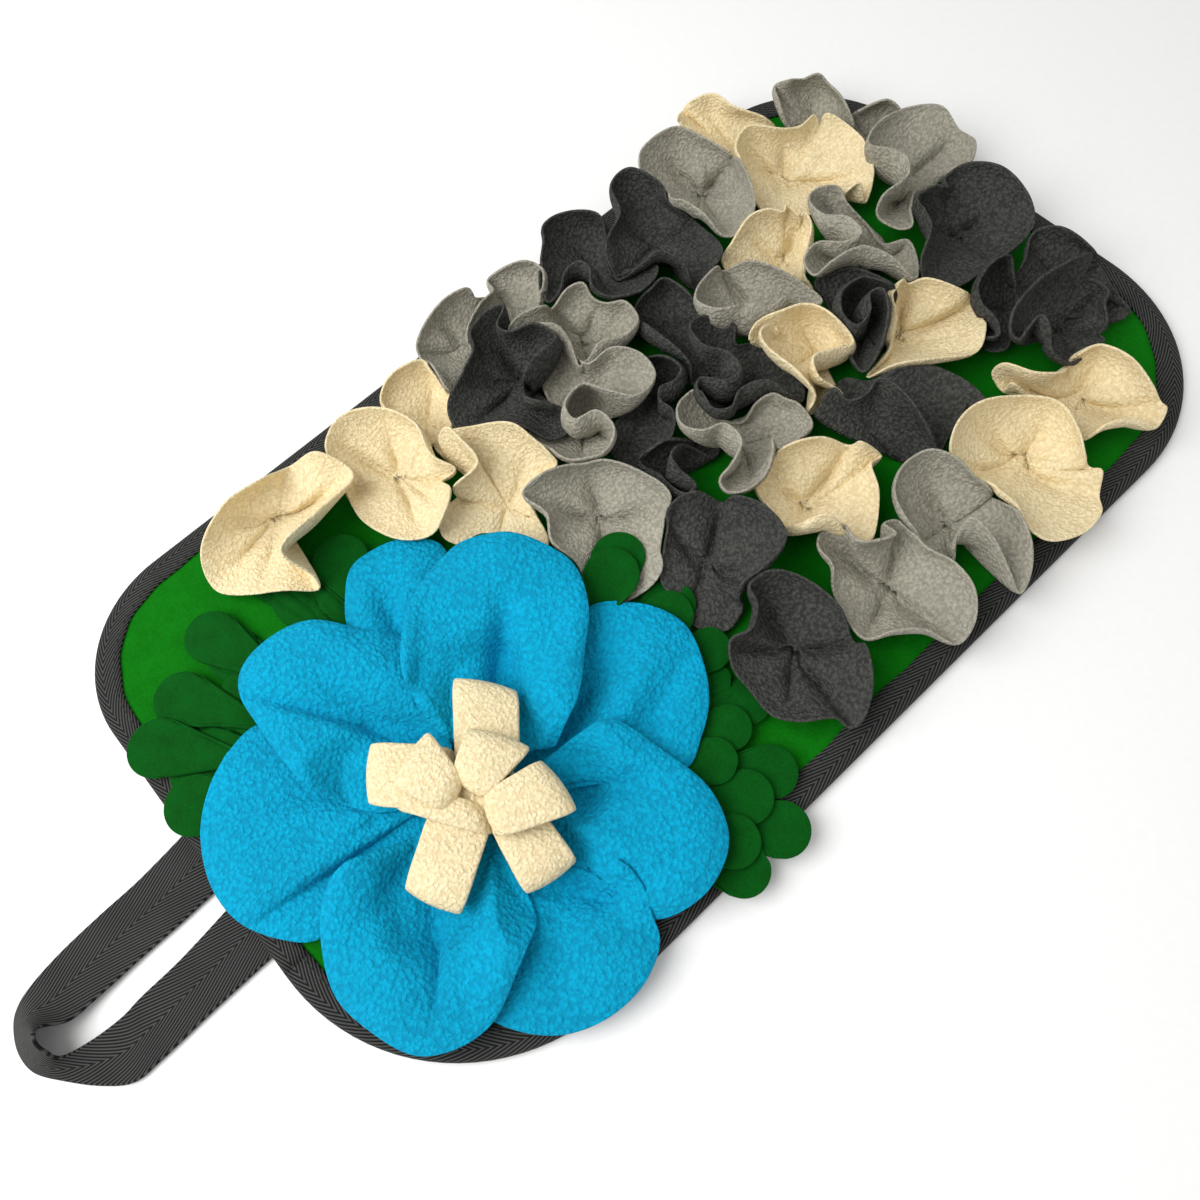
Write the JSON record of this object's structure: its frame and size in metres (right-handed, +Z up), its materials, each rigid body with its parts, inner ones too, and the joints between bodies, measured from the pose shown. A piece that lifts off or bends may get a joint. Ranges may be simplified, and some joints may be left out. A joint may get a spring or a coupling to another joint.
{
  "type": "snuffle mat",
  "caption": "Flat bound felt mat with a strap handle, a fleece flower with looped stamens and felt leaves, and pinched fleece rosettes standing in folds.",
  "frame": {"origin": "the middle of the panel's flat underside", "axes": "+Y along the mat away from the handle, +Z up out of the cloth side, +X to the right as seen from above with the handle at the bottom"},
  "size_m": [0.3031, 0.5858, 0.036],
  "materials": {
    "fleece_cream": "napped fleece",
    "fleece_light_grey": "napped fleece",
    "fleece_dark_grey": "napped fleece",
    "fleece_blue": "napped fleece",
    "felt_dark_green": "felt",
    "felt_bright_green": "felt",
    "tape": "herringbone tape"
  },
  "bodies": {
    "root": {"panel": "felt_bright_green", "binding": "tape", "handle": "tape", "stamens": "fleece_cream", "petal_upper_top": "fleece_blue", "petal_lower_top": "fleece_blue", "petal_upper_left": "fleece_blue", "petal_lower_left": "fleece_blue", "petal_upper_bottom": "fleece_blue", "petal_lower_bottom": "fleece_blue", "petal_upper_right": "fleece_blue", "petal_lower_right": "fleece_blue", "leaf_left": "felt_dark_green", "leaf_upper_left": "felt_dark_green", "leaf_top": "felt_dark_green", "leaf_upper_right": "felt_dark_green", "leaf_right": "felt_dark_green", "leaf_lower_right": "felt_dark_green", "rosette_01": "fleece_cream", "rosette_02": "fleece_cream", "rosette_03": "fleece_cream", "rosette_04": "fleece_cream", "rosette_05": "fleece_light_grey", "rosette_06": "fleece_dark_grey", "rosette_07": "fleece_dark_grey", "rosette_08": "fleece_light_grey", "rosette_09": "fleece_light_grey", "rosette_10": "fleece_cream", "rosette_11": "fleece_cream", "rosette_12": "fleece_cream", "rosette_13": "fleece_dark_grey", "rosette_14": "fleece_dark_grey", "rosette_15": "fleece_cream", "rosette_16": "fleece_dark_grey", "rosette_17": "fleece_dark_grey", "rosette_18": "fleece_light_grey", "rosette_19": "fleece_light_grey", "rosette_20": "fleece_cream", "rosette_21": "fleece_cream", "rosette_22": "fleece_light_grey", "rosette_23": "fleece_dark_grey", "rosette_24": "fleece_cream", "rosette_25": "fleece_light_grey", "rosette_26": "fleece_light_grey", "rosette_27": "fleece_cream", "rosette_28": "fleece_dark_grey", "rosette_29": "fleece_dark_grey", "rosette_30": "fleece_light_grey", "rosette_31": "fleece_light_grey", "rosette_32": "fleece_dark_grey", "rosette_33": "fleece_light_grey", "rosette_34": "fleece_light_grey", "rosette_35": "fleece_light_grey", "rosette_36": "fleece_dark_grey", "rosette_37": "fleece_dark_grey", "rosette_38": "fleece_dark_grey", "rosette_39": "fleece_dark_grey", "rosette_40": "fleece_light_grey", "rosette_41": "fleece_dark_grey"}
  },
  "joints": []
}
